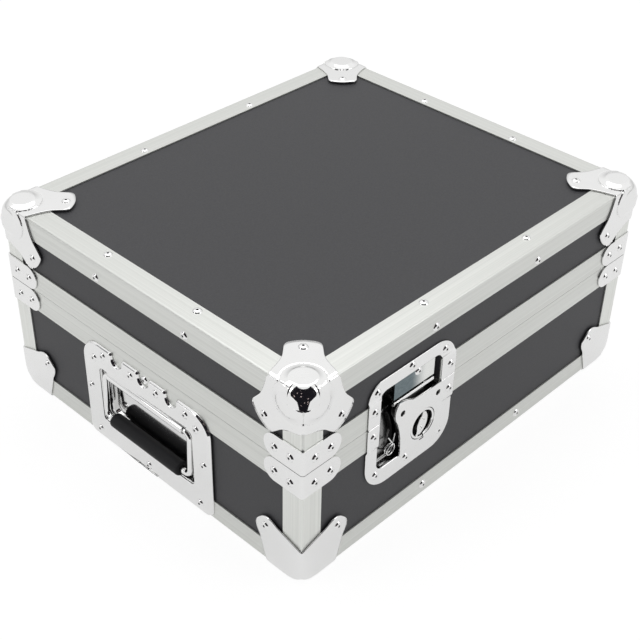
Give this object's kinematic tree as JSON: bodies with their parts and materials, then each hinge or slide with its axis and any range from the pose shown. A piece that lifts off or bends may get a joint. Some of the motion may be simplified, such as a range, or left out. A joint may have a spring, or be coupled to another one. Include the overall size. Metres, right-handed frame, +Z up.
{
  "type": "flight case",
  "caption": "Low flight case of dark laminated panels in aluminium edging, with a lift-off lid, ball corners, recessed butterfly latches and a bail handle in a dish.",
  "frame": {"origin": "centre of the footprint of the whole part, on the ground under the corner plates", "axes": "+X to the right along the latch face, +Y from the latch face into the case, +Z up; the handle is on the -X face and the front latch on the -Y face"},
  "size_m": [0.4631, 0.395, 0.2105],
  "materials": {
    "laminate": "dark charcoal laminate, fine texture",
    "edging": "mill, fine lengthwise lines",
    "hardware": "bright plated steel",
    "grip": "black moulded rubber",
    "foam": "dark grey foam"
  },
  "bodies": {
    "base": {"base_bottom_panel": "laminate", "base_wall_front": "laminate", "base_wall_right": "laminate", "base_wall_back": "laminate", "base_wall_left": "laminate", "base_edge": "edging", "base_post_front_left": "edging", "base_post_front_right": "edging", "base_post_back_right": "edging", "base_post_back_left": "edging", "base_valance_left": "edging", "base_valance_right": "edging", "base_foam": "foam", "base_corner_front_left": "hardware", "base_corner_front_right": "hardware", "base_corner_back_right": "hardware", "base_corner_back_left": "hardware", "base_brace_front_left": "hardware", "base_brace_front_right": "hardware", "base_brace_back_right": "hardware", "base_brace_back_left": "hardware", "front_latch_dish": "hardware", "back_latch_dish": "hardware", "handle_dish": "hardware"},
    "lid": {"lid_top_panel": "laminate", "lid_wall_front": "laminate", "lid_wall_right": "laminate", "lid_wall_back": "laminate", "lid_wall_left": "laminate", "lid_edge_front": "edging", "lid_edge_right": "edging", "lid_edge_back": "edging", "lid_edge_left": "edging", "lid_post_front_left": "edging", "lid_post_front_right": "edging", "lid_post_back_right": "edging", "lid_post_back_left": "edging", "lid_valance_left": "edging", "lid_valance_right": "edging", "lid_foam": "foam", "ball_corner_front_left": "hardware", "ball_corner_front_right": "hardware", "ball_corner_back_right": "hardware", "ball_corner_back_left": "hardware", "lid_brace_front_left": "hardware", "lid_brace_front_right": "hardware", "lid_brace_back_right": "hardware", "lid_brace_back_left": "hardware", "front_latch_keeper_dish": "hardware", "back_latch_keeper_dish": "hardware"},
    "bail": {"handle_bail": "hardware", "handle_grip": "grip"},
    "front_knob": {"front_latch_knob": "hardware"},
    "front_wing": {"front_latch_wing": "hardware"},
    "front_hook": {"front_latch_hook": "hardware"},
    "back_knob": {"back_latch_knob": "hardware"},
    "back_wing": {"back_latch_wing": "hardware"},
    "back_hook": {"back_latch_hook": "hardware"}
  },
  "joints": [
    {"name": "lid_lift", "type": "slide", "parent": "base", "child": "lid", "axis": [0, 0, 1], "range_m": [0, 0.15]},
    {"name": "bail_swing", "type": "hinge", "parent": "base", "child": "bail", "pos_m": [-0.2222, 0, 0.0847], "axis": [0, 1, 0], "range_deg": [0, 90]},
    {"name": "front_knob_turn", "type": "hinge", "parent": "base", "child": "front_knob", "pos_m": [-0.0769, -0.1935, 0.092], "axis": [0, 1, 0], "range_deg": [0, 180]},
    {"name": "front_wing_fold", "type": "hinge", "parent": "front_knob", "child": "front_wing", "pos_m": [-0.07978, -0.194, 0.09285], "axis": [-0.284, 0, -0.9588], "range_deg": [0, 90]},
    {"name": "front_hook_swing", "type": "hinge", "parent": "base", "child": "front_hook", "pos_m": [-0.0854, -0.1876, 0.1105], "axis": [1, 0, 0], "range_deg": [0, 5.5]},
    {"name": "back_knob_turn", "type": "hinge", "parent": "base", "child": "back_knob", "pos_m": [0.0821, 0.1935, 0.092], "axis": [0, -1, 0], "range_deg": [0, 180]},
    {"name": "back_wing_fold", "type": "hinge", "parent": "back_knob", "child": "back_wing", "pos_m": [0.08498, 0.194, 0.09285], "axis": [0.284, 0, -0.9588], "range_deg": [0, 90]},
    {"name": "back_hook_swing", "type": "hinge", "parent": "base", "child": "back_hook", "pos_m": [0.0906, 0.1876, 0.1105], "axis": [-1, 0, 0], "range_deg": [0, 5.5]}
  ],
  "couplings": [
    {"joint": "front_hook_swing", "follows": "front_knob_turn", "ratio": 0.030556},
    {"joint": "back_hook_swing", "follows": "back_knob_turn", "ratio": 0.030556}
  ]
}
